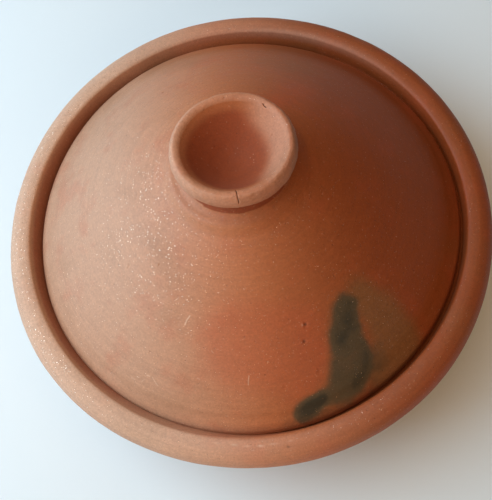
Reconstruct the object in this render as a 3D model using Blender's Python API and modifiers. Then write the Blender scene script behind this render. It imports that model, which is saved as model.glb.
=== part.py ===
"""A hand-thrown earthenware tagine, closed: a round dish with a rolled rim, and the lid that rests in it.

Metres, +Z up. The origin is the middle of the dish's foot, on the table.
"""

import math

import bpy

# Dish
RIM_RADIUS = 0.150
RIM_WIDEST_HEIGHT = 0.062
RIM_CREST_RADIUS = 0.1385
RIM_CREST_HEIGHT = 0.0732
UNDER_RIM_RADIUS = 0.1425
UNDER_RIM_HEIGHT = 0.0510
UNDER_RIM_END = -80
OUTER_WALL_TOP_HEIGHT = 0.0500
FOOT_RADIUS = 0.1040
FOOT_ROUNDING = 0.0040
FOOT_START = -25
BOWL_FLOOR_RADIUS = 0.0880
BOWL_FLOOR_HEIGHT = 0.0125
FLOOR_THICKNESS = 0.0110

# Gallery, the step inside the rim that takes the lid: a ledge, and a sloped wall up to the rim's inner edge
GALLERY_TOP_RADIUS = 0.1362
GALLERY_TOP_HEIGHT = 0.0716
GALLERY_FOOT_RADIUS = 0.1313
GALLERY_FOOT_HEIGHT = 0.0605
LEDGE_OUTER_RADIUS = 0.1298
LEDGE_HEIGHT = 0.0585
LEDGE_INNER_RADIUS = 0.1215
BOWL_TOP_RADIUS = 0.1195
BOWL_TOP_HEIGHT = 0.0570

# Lid
SEAT_GAP = 0.0003
LID_EDGE_RADIUS = 0.1302
LID_EDGE_HEIGHT = 0.0630
LID_EDGE_ROUNDING = 0.0038
LID_SHOULDER_RADIUS = 0.1292
LID_SHOULDER_HEIGHT = 0.0661
LID_SEAT_INNER_RADIUS = 0.1237
LID_INNER_EDGE_RADIUS = 0.1222
LID_INNER_EDGE_RISE = 0.0010
LID_OFFSET = (-0.0007, 0.0)
DOME_TOP_RADIUS = 0.0420
DOME_TOP_HEIGHT = 0.1373
LID_APEX_INSIDE = 0.1347

# Knob, a small cup with a thick lip on a short neck
COLLAR_RADIUS = 0.0330
COLLAR_HEIGHT = 0.1427
WAIST_RADIUS = 0.0272
WAIST_HEIGHT = 0.1500
LIP_RADIUS = 0.0327
LIP_WIDEST_HEIGHT = 0.1591
LIP_TOP_RADIUS = 0.0285
LIP_TOP_HEIGHT = 0.1668
CUP_MOUTH_RADIUS = 0.0255
CUP_MOUTH_HEIGHT = 0.1638
CUP_FLOOR_HEIGHT = 0.1450

# How far each bend is pulled at its two ends, outwards and up
BOWL_PULLS = ((0.0200, 0.0040), (-0.0010, -0.0235))
OUTER_WALL_PULLS = ((-0.0030, -0.0160), (0.0200, 0.0090))
CUP_PULLS = ((0.0191, 0.0), (-0.0010, -0.0108))
NECK_PULLS = ((0.0, -0.0051), (0.0, 0.0040))
COLLAR_PULLS = ((0.0005, -0.0043), (-0.0020, 0.0010))
DOME_PULLS = ((0.0254, -0.0118), (-0.0234, 0.0260))
UNDERSIDE_PULLS = ((-0.0210, 0.0270), (0.0522, 0.0))

# Turning on the wheel
SEGMENTS = 72
MERGE_DISTANCE = 0.00005

# Slow waves of hand-thrown clay: how many round the piece, their height, and where one is highest in degrees
OUTER_WAVES = ((2, 0.0002, 57), (3, 0.0004, -43), (4, 0.0004, 24))
GALLERY_WAVES = ((1, 0.0014, -90), (2, 0.0003, 0))
LID_WAVES = ((2, 0.0003, 77), (3, 0.0007, -8), (4, 0.0004, 9))
KNOB_WAVES = ((1, 0.0009, -20), (2, 0.0008, 0))
GALLERY_DEPTH = 0.015

TERRACOTTA = (0.42, 0.19, 0.10, 1.0)
TERRACOTTA_ROUGHNESS = 0.75


def clear_scene():
    for obj in list(bpy.data.objects):
        bpy.data.objects.remove(obj, do_unlink=True)


def clay_material(name):
    material = bpy.data.materials.new(name)
    material.use_nodes = True
    shader = material.node_tree.nodes["Principled BSDF"]
    shader.inputs["Base Color"].default_value = TERRACOTTA
    shader.inputs["Roughness"].default_value = TERRACOTTA_ROUGHNESS
    shader.inputs["Metallic"].default_value = 0.0
    return material


def arc(centre, across, up, start, end, steps):
    """Points of an elliptical arc, from start to end in degrees, both ends included."""
    points = []
    for step in range(steps + 1):
        angle = math.radians(start + (end - start) * step / steps)
        points.append((centre[0] + across * math.cos(angle), centre[1] + up * math.sin(angle)))
    return points


def bend(start, end, pulls, steps):
    """Points of a cubic curve from start to end, drawn towards a pull at each of them."""
    corners = (start, *(tuple(map(sum, zip(*pair))) for pair in zip((start, end), pulls)), end)
    points = []
    for step in range(steps + 1):
        t = step / steps
        weights = ((1 - t) ** 3, 3 * t * (1 - t) ** 2, 3 * t * t * (1 - t), t ** 3)
        points.append(tuple(sum(w * c[axis] for w, c in zip(weights, corners)) for axis in (0, 1)))
    return points


def joined(*stretches):
    """One profile from stretches in order, with a point that two of them share kept once."""
    profile = []
    for stretch in stretches:
        for point in stretch:
            if not profile or math.dist(point, profile[-1]) > MERGE_DISTANCE:
                profile.append(point)
    return profile


def dish_profile():
    """Floor inside, up the bowl to the ledge, over the rolled rim, and down the outside to the foot."""
    bowl = bend(
        (BOWL_FLOOR_RADIUS, BOWL_FLOOR_HEIGHT), (BOWL_TOP_RADIUS, BOWL_TOP_HEIGHT), BOWL_PULLS, steps=5
    )
    ledge = [(LEDGE_INNER_RADIUS, LEDGE_HEIGHT), (LEDGE_OUTER_RADIUS, LEDGE_HEIGHT)]
    gallery_foot = [(GALLERY_FOOT_RADIUS, GALLERY_FOOT_HEIGHT)]
    inner_edge = arc(
        (RIM_CREST_RADIUS, GALLERY_TOP_HEIGHT),
        RIM_CREST_RADIUS - GALLERY_TOP_RADIUS,
        RIM_CREST_HEIGHT - GALLERY_TOP_HEIGHT,
        180,
        90,
        steps=3,
    )
    outer_roll = arc(
        (RIM_CREST_RADIUS, RIM_WIDEST_HEIGHT),
        RIM_RADIUS - RIM_CREST_RADIUS,
        RIM_CREST_HEIGHT - RIM_WIDEST_HEIGHT,
        90,
        0,
        steps=5,
    )
    under_roll = arc(
        (UNDER_RIM_RADIUS, RIM_WIDEST_HEIGHT),
        RIM_RADIUS - UNDER_RIM_RADIUS,
        RIM_WIDEST_HEIGHT - UNDER_RIM_HEIGHT,
        0,
        UNDER_RIM_END,
        steps=3,
    )
    outer_wall = bend(
        (UNDER_RIM_RADIUS, OUTER_WALL_TOP_HEIGHT),
        (FOOT_RADIUS, FOOT_ROUNDING),
        OUTER_WALL_PULLS,
        steps=5,
    )
    foot = arc(
        (FOOT_RADIUS - FOOT_ROUNDING, FOOT_ROUNDING),
        FOOT_ROUNDING,
        FOOT_ROUNDING,
        FOOT_START,
        -90,
        steps=2,
    )
    return joined(
        [(0.0, FLOOR_THICKNESS)],
        bowl,
        ledge,
        gallery_foot,
        inner_edge,
        outer_roll,
        under_roll,
        outer_wall,
        foot,
        [(0.0, 0.0)],
    )


def knob_profile():
    """The cup in the knob, over its thick lip and in under it to the neck."""
    cup = bend((0.0, CUP_FLOOR_HEIGHT), (CUP_MOUTH_RADIUS, CUP_MOUTH_HEIGHT), CUP_PULLS, steps=6)
    lip_inside = arc(
        (LIP_TOP_RADIUS, CUP_MOUTH_HEIGHT),
        LIP_TOP_RADIUS - CUP_MOUTH_RADIUS,
        LIP_TOP_HEIGHT - CUP_MOUTH_HEIGHT,
        180,
        90,
        steps=2,
    )
    lip_outside = arc(
        (LIP_TOP_RADIUS, LIP_WIDEST_HEIGHT),
        LIP_RADIUS - LIP_TOP_RADIUS,
        LIP_TOP_HEIGHT - LIP_WIDEST_HEIGHT,
        90,
        0,
        steps=3,
    )
    neck = bend((LIP_RADIUS, LIP_WIDEST_HEIGHT), (WAIST_RADIUS, WAIST_HEIGHT), NECK_PULLS, steps=3)
    return joined(cup, lip_inside, lip_outside, neck)


def lid_profile():
    """The knob, down the dome to the rounded edge that sits on the ledge, and back up underneath."""
    collar = bend(
        (WAIST_RADIUS, WAIST_HEIGHT), (COLLAR_RADIUS, COLLAR_HEIGHT), COLLAR_PULLS, steps=2
    )
    dome = bend(
        (DOME_TOP_RADIUS, DOME_TOP_HEIGHT),
        (LID_SHOULDER_RADIUS, LID_SHOULDER_HEIGHT),
        DOME_PULLS,
        steps=7,
    )
    seat_height = LEDGE_HEIGHT + SEAT_GAP
    edge = arc(
        (LID_EDGE_RADIUS - LID_EDGE_ROUNDING, LID_EDGE_HEIGHT),
        LID_EDGE_ROUNDING,
        LID_EDGE_HEIGHT - seat_height,
        0,
        -90,
        steps=3,
    )
    underside = bend(
        (LID_INNER_EDGE_RADIUS, seat_height + LID_INNER_EDGE_RISE),
        (0.0, LID_APEX_INSIDE),
        UNDERSIDE_PULLS,
        steps=7,
    )
    return joined(
        knob_profile(), collar, dome, edge, [(LID_SEAT_INNER_RADIUS, seat_height)], underside
    )


def wave(waves, angle):
    return sum(height * math.cos(times * (angle - math.radians(peak))) for times, height, peak in waves)


def ease(value, low, high):
    """Nought below low, one above high, and a smooth step between."""
    t = min(max((value - low) / (high - low), 0.0), 1.0)
    return t * t * (3 - 2 * t)


def dish_shift(radius, height, angle):
    """How far the dish stands out from a true circle: the gallery has waves of its own, that grow upwards."""
    gallery = ease(height, LEDGE_HEIGHT - GALLERY_DEPTH, LEDGE_HEIGHT)
    gallery *= 1 - ease(radius, GALLERY_TOP_RADIUS, RIM_RADIUS)
    outside = wave(OUTER_WAVES, angle) * radius / RIM_RADIUS
    inside = wave(GALLERY_WAVES, angle) * ease(height, LEDGE_HEIGHT, GALLERY_TOP_HEIGHT)
    return outside + gallery * (inside - outside)


def lid_shift(radius, height, angle):
    """How far the lid stands out from a true circle: the dome at its edge, the knob from its neck up."""
    dome = wave(LID_WAVES, angle) * ease(radius, LIP_RADIUS, LID_EDGE_RADIUS)
    knob = wave(KNOB_WAVES, angle) * ease(height, DOME_TOP_HEIGHT, WAIST_HEIGHT)
    return dome + knob * min(radius / WAIST_RADIUS, 1.0)


def make_uneven(mesh, shift):
    """Moves each point of a turned mesh in or out by the shift at its radius, height and angle."""
    for vertex in mesh.vertices:
        radius = math.hypot(vertex.co.x, vertex.co.y)
        if radius < MERGE_DISTANCE:
            continue
        angle = math.atan2(vertex.co.y, vertex.co.x)
        scale = 1 + shift(radius, vertex.co.z, angle) / radius
        vertex.co.x *= scale
        vertex.co.y *= scale


def turned(name, profile, shift, material, collection):
    """A piece turned from its profile, then made uneven as clay from the wheel is."""
    outline = bpy.data.meshes.new(name + "_profile")
    points = [(radius, 0.0, height) for radius, height in profile]
    edges = [(i, i + 1) for i in range(len(points) - 1)]
    outline.from_pydata(points, edges, [])
    obj = bpy.data.objects.new(name, outline)
    collection.objects.link(obj)
    screw = obj.modifiers.new("Wheel", "SCREW")
    screw.angle = math.tau
    screw.steps = SEGMENTS
    screw.render_steps = SEGMENTS
    screw.use_merge_vertices = True
    screw.merge_threshold = MERGE_DISTANCE
    bpy.context.view_layer.update()
    evaluated = obj.evaluated_get(bpy.context.evaluated_depsgraph_get())
    mesh = bpy.data.meshes.new_from_object(evaluated)
    obj.modifiers.clear()
    obj.data = mesh
    bpy.data.meshes.remove(outline)
    mesh.name = name
    make_uneven(mesh, shift)
    mesh.shade_smooth()
    mesh.materials.clear()
    mesh.materials.append(material)
    return obj


def make_dish(collection):
    return turned("dish", dish_profile(), dish_shift, clay_material("dish_clay"), collection)


def make_lid(collection):
    lid = turned("lid", lid_profile(), lid_shift, clay_material("lid_clay"), collection)
    lid.location = (LID_OFFSET[0], LID_OFFSET[1], 0.0)
    return lid


def main():
    clear_scene()
    tagine = bpy.data.collections.new("tagine")
    bpy.context.scene.collection.children.link(tagine)
    make_dish(tagine)
    make_lid(tagine)


main()
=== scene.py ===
"""A closed earthenware tagine with the marks of its kiln, on a pale table by a window.

Sizes are in metres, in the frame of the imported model: the origin is the middle of the dish's foot, +Z is up,
and the photograph was taken from the -Y side.
"""

import math
from functools import partial

import bmesh
import bpy
import numpy as np
from bpy.props import FloatProperty, FloatVectorProperty, IntProperty, PointerProperty
from mathutils import Matrix, Vector


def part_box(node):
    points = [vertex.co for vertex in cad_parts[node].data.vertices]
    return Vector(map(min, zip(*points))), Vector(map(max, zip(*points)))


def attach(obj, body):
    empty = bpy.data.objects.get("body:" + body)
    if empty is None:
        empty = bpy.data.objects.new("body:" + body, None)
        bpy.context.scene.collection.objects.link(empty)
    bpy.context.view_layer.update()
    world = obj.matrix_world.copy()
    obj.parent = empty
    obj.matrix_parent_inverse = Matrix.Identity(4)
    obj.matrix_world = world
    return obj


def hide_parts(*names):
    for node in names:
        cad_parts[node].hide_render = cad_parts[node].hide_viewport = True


bl_info = {
    "name": "Earthenware tagine",
    "version": (1, 0, 0),
    "blender": (4, 5, 0),
    "location": "3D View > Sidebar > Tagine",
    "description": "Throws an unglazed clay dish and its lid, and lights them on a pale table",
    "category": "Object",
}

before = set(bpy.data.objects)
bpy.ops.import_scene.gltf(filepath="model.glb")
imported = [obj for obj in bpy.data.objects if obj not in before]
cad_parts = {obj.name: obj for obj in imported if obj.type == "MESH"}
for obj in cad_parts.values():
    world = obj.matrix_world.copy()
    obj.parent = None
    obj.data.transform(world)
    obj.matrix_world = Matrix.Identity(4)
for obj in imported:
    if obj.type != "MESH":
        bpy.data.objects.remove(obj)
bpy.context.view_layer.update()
DISH_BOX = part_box("dish")
LID_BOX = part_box("lid")
MILLIMETRE = 0.001


def linear(hex_colour):
    """Linear red, green, blue and alpha of an sRGB colour written as six hexadecimal digits."""
    channels = [int(hex_colour[i:i + 2], 16) / 255 for i in (0, 2, 4)]
    return tuple(c / 12.92 if c <= 0.04045 else ((c + 0.055) / 1.055) ** 2.4 for c in channels) + (1.0,)


def length(name, description, default):
    return FloatProperty(name=name, description=description, default=default, unit="LENGTH", precision=4)


def angle(name, description, degrees):
    return FloatProperty(name=name, description=description, default=math.radians(degrees), subtype="ANGLE")


def colour(name, description, hex_colour):
    return FloatVectorProperty(
        name=name, description=description, default=linear(hex_colour), size=4, subtype="COLOR", min=0, max=1
    )


class DishSizes(bpy.types.PropertyGroup):
    """Sizes of the dish's profile."""

    rim_radius: length("Rim radius", "Half of the widest width, at mid-height of the rolled rim", 0.150)
    rim_widest_height: length("Rim widest height", "Height at which the rim is widest", 0.062)
    crest_radius: length("Crest radius", "Radius of the rim's highest ring", 0.1385)
    crest_height: length("Crest height", "Height of the rim's highest ring", DISH_BOX[1].z)
    gallery_top_radius: length("Gallery top radius", "Radius of the rim's inner edge", 0.1340)
    gallery_top_height: length("Gallery top height", "Height of the rim's inner edge", 0.0715)
    gallery_foot_radius: length("Gallery foot radius", "Radius at the foot of the rim's inner wall", 0.1313)
    gallery_foot_height: length("Gallery foot height", "Height of the foot of that wall", 0.0605)
    ledge_height: length("Ledge height", "Height of the ledge that carries the lid", 0.0585)
    ledge_outer_radius: length("Ledge outer radius", "Radius at which the ledge meets the wall", 0.1298)
    ledge_inner_radius: length("Ledge inner radius", "Radius at which the ledge turns down", 0.1215)
    bowl_top_radius: length("Bowl top radius", "Radius of the bowl just under the ledge", 0.1195)
    bowl_top_height: length("Bowl top height", "Height of the bowl just under the ledge", 0.0570)
    bowl_floor_radius: length("Bowl floor radius", "Radius of the nearly flat floor inside", 0.0880)
    bowl_floor_height: length("Bowl floor height", "Height of the floor's outer edge inside", 0.0125)
    floor_thickness: length("Floor thickness", "Thickness of clay in the middle of the floor", 0.0110)
    under_rim_radius: length("Under-rim radius", "Radius of the wall just under the rolled rim", 0.1425)
    under_rim_height: length("Under-rim height", "Height at which the roll ends", 0.0510)
    outer_wall_height: length("Outer wall height", "Height at which the outer wall starts", 0.0500)
    foot_radius: length("Foot radius", "Radius of the flat foot", 0.1040)
    foot_rounding: length("Foot rounding", "Radius of the foot's worn edge", 0.0040)


class LidSizes(bpy.types.PropertyGroup):
    """Sizes of the lid's profile and of its knob."""

    edge_radius: length("Edge radius", "Radius of the lid's rounded edge", 0.1302)
    edge_height: length("Edge height", "Height at which the edge is widest", 0.0630)
    edge_rounding: length("Edge rounding", "Radius of the edge's rounding", 0.0038)
    shoulder_radius: length("Shoulder radius", "Radius at which the dome meets the edge", 0.1292)
    shoulder_height: length("Shoulder height", "Height at which the dome meets the edge", 0.0661)
    seat_height: length("Seat height", "Height of the ring that rests on the ledge", LID_BOX[0].z)
    seat_inner_radius: length("Seat inner radius", "Inner radius of the ring that rests on the ledge", 0.1237)
    inner_edge_radius: length("Inner edge radius", "Radius at which the underside starts", 0.1222)
    inner_edge_rise: length("Inner edge rise", "Rise from the seat to the underside's start", 0.0010)
    crease_radius: length("Crease radius", "Radius of the faint step over the lid's edge", 0.1228)
    crease_depth: length("Crease depth", "Depth of the faint step over the lid's edge", 0.00007)
    apex_inside: length("Apex inside", "Height of the middle of the lid's underside", 0.1347)
    dome_top_radius: length("Dome top radius", "Radius at which the dome meets the knob's collar", 0.0420)
    dome_top_height: length("Dome top height", "Height at which the dome meets the knob's collar", 0.1373)
    collar_radius: length("Collar radius", "Radius of the coil of clay under the knob", 0.0330)
    collar_height: length("Collar height", "Height of the coil of clay under the knob", 0.1427)
    waist_radius: length("Waist radius", "Radius of the knob's narrowest part", 0.0272)
    waist_height: length("Waist height", "Height of the knob's narrowest part", 0.1500)
    lip_radius: length("Lip radius", "Radius of the knob's lip at its widest", 0.0327)
    lip_widest_height: length("Lip widest height", "Height at which the knob's lip is widest", 0.1591)
    lip_top_radius: length("Lip top radius", "Radius of the lip's highest ring", 0.0297)
    lip_top_height: length("Lip top height", "Height of the lip's highest ring", LID_BOX[1].z)
    cup_mouth_radius: length("Cup mouth radius", "Radius of the hollow's mouth in the knob", 0.0262)
    cup_mouth_height: length("Cup mouth height", "Height at which the hollow turns over the lip", 0.1650)
    cup_floor_height: length("Cup floor height", "Height of the hollow's floor in the knob", 0.1448)
    bead_radius: length("Bead radius", "Radius of the swelling at the knob's foot, on one side", 0.0360)
    bead_height: length("Bead height", "Height of that swelling over the dome", 0.0013)
    bead_turn: angle("Bead turn", "Direction of that swelling, from +X towards +Y", -140)
    offset: FloatVectorProperty(
        name="Offset", description="How far the lid sits off the dish's middle", size=2,
        default=(-0.0007, 0.0), unit="LENGTH", precision=4,
    )


class ClaySettings(bpy.types.PropertyGroup):
    """The clay's colours, its skin and the traces of the potter's hands."""

    # Painted sheen and painted shade: the clay goes from this tan on the -X side, which faces the window, through
    # the warm middle to the body's deep red brown on the +X side, away from it
    pale: colour("Pale side", "The clay where the fire had more air, a tan", "BB8E72")
    warm: colour("Warm middle", "The clay between the pale side and the body, an orange brown", "B6693C")
    body: colour("Body", "The clay's main colour, a deep red brown", "904315")
    # Painted shade: this redder clay is painted inside the knob's cup and on the wall and ledge inside the rim on
    # the window's side, which face away from the light
    deep: colour("Sheltered clay", "Redder clay inside the rim and the knob, where no air came", "8A3A15")
    buff: colour("Buff", "Olive clouds in the body", "7F552E")
    flash: colour("Flash", "Redder clay, where the flame passed close", "B24D29")
    smoke: colour("Smoke", "Clay greyed by smoke in the kiln", "4C412C")
    # Besides the smoke marks, this darkens the pores, the cracks and the pits; in the pits it is painted shade
    soot_and_shade: colour("Soot", "The blackest of the smoke marks", "2B291D")
    # Besides dry pale clay in scratches, chips and grain, this pales the rim and the knob's lip as dust, and
    # paints sheen on the rim's window side and highlights on the wall inside the rim, the cup's lit wall and the
    # clay beside the pits
    dust_and_highlight: colour("Dust", "Dry pale clay in scratches and on worn edges", "D8B49C")
    skin_roughness: FloatProperty(
        name="Skin roughness", description="Of the hand-smoothed skin of the clay", default=0.60, min=0, max=1
    )
    ring_depth: length("Ring depth", "Depth of the rings that fingers leave on the wheel", 0.00003)
    ring_spacing: length("Ring spacing", "Distance between those rings", 0.0075)
    dent_depth: length("Dent depth", "Height of the soft dents of the smoothing hand", 0.00028)
    dent_size: length("Dent size", "Width of the soft dents of the smoothing hand", 0.030)
    lump_depth: length("Lump depth", "Height of the lumps on the knob's rough lip", 0.00085)
    lump_size: length("Lump size", "Width of the lumps on the knob's rough lip", 0.008)
    mica_least: length("Least mica", "Half the width of the smallest flakes of mica", 0.00010)
    mica_most: length("Most mica", "Half the width of the largest flakes of mica", 0.00026)
    mica_density: FloatProperty(
        name="Mica density", description="Flakes to a square metre, where mica isn't bare", default=90000.0, min=0
    )
    seed: IntProperty(name="Seed", description="Chooses among equally likely dents and flakes", default=11)


class StageSettings(bpy.types.PropertyGroup):
    """The table, the lights and the camera."""

    table: colour("Table", "The pale cool white of the table", "E3EFF6")
    window_light: colour("Window light", "The cool light of the sky", "D3EEFF")
    window_power: FloatProperty(
        name="Window power", description="Light from the broad window at the left", default=14.5, unit="POWER"
    )
    window_width: length("Window width", "Width of the window", 1.25)
    window_height: length("Window height", "Height of the window", 0.95)
    window_distance: length("Window distance", "From the rim's middle to the window's middle", 1.10)
    window_azimuth: angle("Window azimuth", "Direction of the window round the pot, from +X towards +Y", 166)
    window_elevation: angle("Window elevation", "Height of the window over the table", 34)
    sky_power: FloatProperty(
        name="Sky power", description="Light from high on the window's side", default=5.5, unit="POWER"
    )
    room_tint: colour("Room tint", "The warm light that the room sends back", "FFD3A4")
    ceiling_power: FloatProperty(
        name="Ceiling power", description="Light that the ceiling sends back", default=6.5, unit="POWER"
    )
    front_power: FloatProperty(
        name="Front power", description="Light from the photographer's side", default=5.7, unit="POWER"
    )
    back_power: FloatProperty(
        name="Back power", description="Light from the wall behind the pot", default=2.0, unit="POWER"
    )
    camera_distance: length("Camera distance", "From the middle of the rim's widest circle", 0.525)
    camera_elevation: angle("Camera elevation", "Angle over the table", 66.87)
    camera_roll: angle("Camera roll", "Lean of the picture", -11.20)
    focal_pixels: FloatProperty(
        name="Focal length in pixels", description="Of the photograph's frame", default=840.0
    )


# The photograph's frame, and where the middle of the rim's widest circle falls in it
FRAME_WIDTH, FRAME_HEIGHT = 492, 500
RIM_MIDDLE_PIXEL = (247.3, 222.4)
SENSOR_WIDTH_MM = 36.0

# How far each bend of a profile is pulled at its two ends, outwards and up
BOWL_PULLS = ((0.0200, 0.0040), (-0.0010, -0.0235))
OUTER_WALL_PULLS = ((-0.0030, -0.0160), (0.0200, 0.0090))
CUP_PULLS = ((0.0120, 0.0), (-0.0056, -0.0092))
LIP_INSIDE_PULLS = ((0.0008, 0.0011), (-0.0015, 0.0))
INNER_EDGE_PULLS = ((0.0004, 0.0013), (-0.0021, 0.0))
NECK_PULLS = ((0.0, -0.0051), (0.0, 0.0040))
COLLAR_PULLS = ((0.0012, -0.0037), (-0.0038, 0.0016))
FLARE_PULLS = ((0.0034, -0.0014), (-0.0040, 0.0019))
DOME_PULLS = ((0.0254, -0.0118), (-0.0234, 0.0260))
UNDERSIDE_PULLS = ((-0.0210, 0.0270), (0.0522, 0.0))

# Slow waves of hand-thrown clay: how many round the piece, their height, and where one is highest in degrees
OUTER_WAVES = ((2, 0.0002, 57), (3, 0.0004, -43), (4, 0.0004, 24))
GALLERY_WAVES = ((1, 0.0010, 175), (2, 0.0003, 25), (3, 0.0003, -30))
GALLERY_FOOT_WAVES = ((1, 0.0009, -5),)
LID_WAVES = ((1, 0.0007, -50), (2, 0.0003, 77), (3, 0.0007, -8), (4, 0.0004, 9))
KNOB_WAVES = ((1, 0.0009, -20), (2, 0.0008, 0))
GALLERY_DEPTH = 0.015

# Half the width of the swelling at the knob's foot, and the cosines of the turn from its middle where it fades
BEAD_HALF_WIDTH, BEAD_FADE = 0.0026, (0.2, 0.9)

# On one side the wall inside the rim is smeared flatter, so that its foot stands higher there
SMEAR_HEIGHT, SMEAR_TURN, SMEAR_NARROWNESS = 0.0050, math.radians(-125), 6

# Distance between rings of the mesh: where clay turns sharply, on what shows, and on what the lid hides
FINE, PLAIN, HIDDEN = 0.0007, 0.0014, 0.0060
LID_SEGMENTS, DISH_SEGMENTS = 400, 460
CURVE_STEPS = 64
MERGE_DISTANCE = 0.000001
SAME_POINT = 0.00005

# Inputs and outputs of a Mix node set to colours
FACTOR, FIRST, SECOND, MIXED = 0, 6, 7, 2


def arc(centre, across, up, start, end):
    """A dense elliptical arc, from start to end in degrees."""
    turns = np.radians(np.linspace(start, end, CURVE_STEPS + 1))
    return np.stack([centre[0] + across * np.cos(turns), centre[1] + up * np.sin(turns)], 1)


def bend(start, end, pulls):
    """A dense cubic curve from start to end, drawn towards a pull at each of them."""
    t = np.linspace(0, 1, CURVE_STEPS + 1)[:, None]
    start, end = np.array(start), np.array(end)
    corners = (start, start + pulls[0], end + pulls[1], end)
    weights = ((1 - t) ** 3, 3 * t * (1 - t) ** 2, 3 * t * t * (1 - t), t ** 3)
    return sum(weight * corner for weight, corner in zip(weights, corners))


def straight(*points):
    return np.array(points, float)


def evenly(points, spacing):
    """The same line with its points as evenly apart as fits the spacing, both ends kept."""
    along = np.concatenate([[0], np.cumsum(np.linalg.norm(np.diff(points, axis=0), axis=1))])
    count = max(1, math.ceil(along[-1] / spacing))
    places = np.linspace(0, along[-1], count + 1)
    return np.stack([np.interp(places, along, points[:, axis]) for axis in (0, 1)], 1)


def joined(stretches):
    """One profile from stretches of (points, spacing, dented, lumpy), with both shares for every point."""
    profile, shares = [], []
    for points, spacing, dented, lumpy in stretches:
        for point in evenly(points, spacing):
            if not profile or np.linalg.norm(point - profile[-1]) > SAME_POINT:
                profile.append(point)
                shares.append((dented, lumpy))
    return np.array(profile), dict(zip(("dented", "lumpy"), np.array(shares, float).T))


def dish_profile(d):
    """Floor inside, up the bowl to the ledge, over the rolled rim, and down the outside to the foot."""
    bowl_floor = (d.bowl_floor_radius, d.bowl_floor_height)
    bowl = bend(bowl_floor, (d.bowl_top_radius, d.bowl_top_height), BOWL_PULLS)
    ledge = straight((d.ledge_inner_radius, d.ledge_height), (d.ledge_outer_radius, d.ledge_height))
    gallery_foot = (d.gallery_foot_radius, d.gallery_foot_height)
    crest = (d.crest_radius, d.crest_height)
    inner_edge = bend((d.gallery_top_radius, d.gallery_top_height), crest, INNER_EDGE_PULLS)
    outer_roll = arc(
        (d.crest_radius, d.rim_widest_height),
        d.rim_radius - d.crest_radius, d.crest_height - d.rim_widest_height, 90, 0,
    )
    under_roll = arc(
        (d.under_rim_radius, d.rim_widest_height),
        d.rim_radius - d.under_rim_radius, d.rim_widest_height - d.under_rim_height, 0, -80,
    )
    wall_top = (d.under_rim_radius, d.outer_wall_height)
    outer_wall = bend(wall_top, (d.foot_radius, d.foot_rounding), OUTER_WALL_PULLS)
    foot = arc((d.foot_radius - d.foot_rounding, d.foot_rounding), d.foot_rounding, d.foot_rounding, -25, -90)
    return joined([
        (straight((0, d.floor_thickness), bowl[0]), HIDDEN, 1.0, 0.0),
        (bowl, HIDDEN * 0.5, 1.0, 0.0),
        (straight(bowl[-1], ledge[0]), FINE, 0.3, 0.0),
        (ledge, PLAIN, 0.0, 0.0),
        (straight(ledge[-1], gallery_foot), FINE, 0.2, 0.0),
        (straight(gallery_foot, inner_edge[0]), FINE, 0.6, 0.15),
        (inner_edge, FINE * 0.5, 1.0, 0.45),
        (outer_roll, FINE, 1.0, 0.15),
        (under_roll, FINE, 1.0, 0.15),
        (straight(under_roll[-1], wall_top), FINE, 1.0, 0.0),
        (outer_wall, PLAIN, 1.0, 0.0),
        (foot, FINE, 0.5, 0.0),
        (straight(foot[-1], (0, 0)), HIDDEN, 0.0, 0.0),
    ])


def knob_stretches(s):
    """The cup in the knob, over its thick lip and in under it to the neck."""
    cup = bend((0.0, s.cup_floor_height), (s.cup_mouth_radius, s.cup_mouth_height), CUP_PULLS)
    lip_top = (s.lip_top_radius, s.lip_top_height)
    lip_inside = bend((s.cup_mouth_radius, s.cup_mouth_height), lip_top, LIP_INSIDE_PULLS)
    lip_outside = arc(
        (s.lip_top_radius, s.lip_widest_height),
        s.lip_radius - s.lip_top_radius, s.lip_top_height - s.lip_widest_height, 90, 0,
    )
    neck = bend((s.lip_radius, s.lip_widest_height), (s.waist_radius, s.waist_height), NECK_PULLS)
    return [
        (cup, FINE, 1.0, 0.15),
        (lip_inside, FINE * 0.7, 1.0, 0.7),
        (lip_outside, FINE * 0.7, 1.0, 1.0),
        (neck, FINE, 1.0, 0.8),
    ]


def lid_profile(s):
    """The knob, down the dome to the rounded edge that sits on the ledge, and back up underneath."""
    collar = bend((s.waist_radius, s.waist_height), (s.collar_radius, s.collar_height), COLLAR_PULLS)
    dome_top = (s.dome_top_radius, s.dome_top_height)
    shoulder = (s.shoulder_radius, s.shoulder_height)
    flare = bend(collar[-1], dome_top, FLARE_PULLS)
    dome = bend(dome_top, shoulder, DOME_PULLS)
    edge = arc(
        (s.edge_radius - s.edge_rounding, s.edge_height),
        s.edge_rounding, s.edge_height - s.seat_height, 0, -90,
    )
    seat_inside = (s.seat_inner_radius, s.seat_height)
    inner_edge = (s.inner_edge_radius, s.seat_height + s.inner_edge_rise)
    underside = bend(inner_edge, (0.0, s.apex_inside), UNDERSIDE_PULLS)
    return joined(knob_stretches(s) + [
        (collar, FINE, 1.0, 0.5),
        (flare, FINE, 1.0, 0.3),
        (dome, PLAIN, 1.0, 0.0),
        (straight(shoulder, edge[0]), FINE, 0.7, 0.0),
        (edge, FINE, 0.2, 0.0),
        (straight(edge[-1], seat_inside, inner_edge), FINE, 0.0, 0.0),
        (underside, HIDDEN, 1.0, 0.0),
    ])


def feed(tree, node, feeds):
    """Feeds a node's inputs with values, with outputs, or with the first outputs of other nodes."""
    for key, value in feeds.items():
        if isinstance(value, bpy.types.Node):
            value = value.outputs[0]
        if isinstance(value, bpy.types.NodeSocket):
            tree.links.new(value, node.inputs[key])
        else:
            node.inputs[key].default_value = value


def add_node(tree, kind, feeds=None, **settings):
    """Adds a node with its settings and links."""
    node = tree.nodes.new(kind)
    for name, value in settings.items():
        setattr(node, name, value)
    feed(tree, node, feeds or {})
    return node


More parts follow.
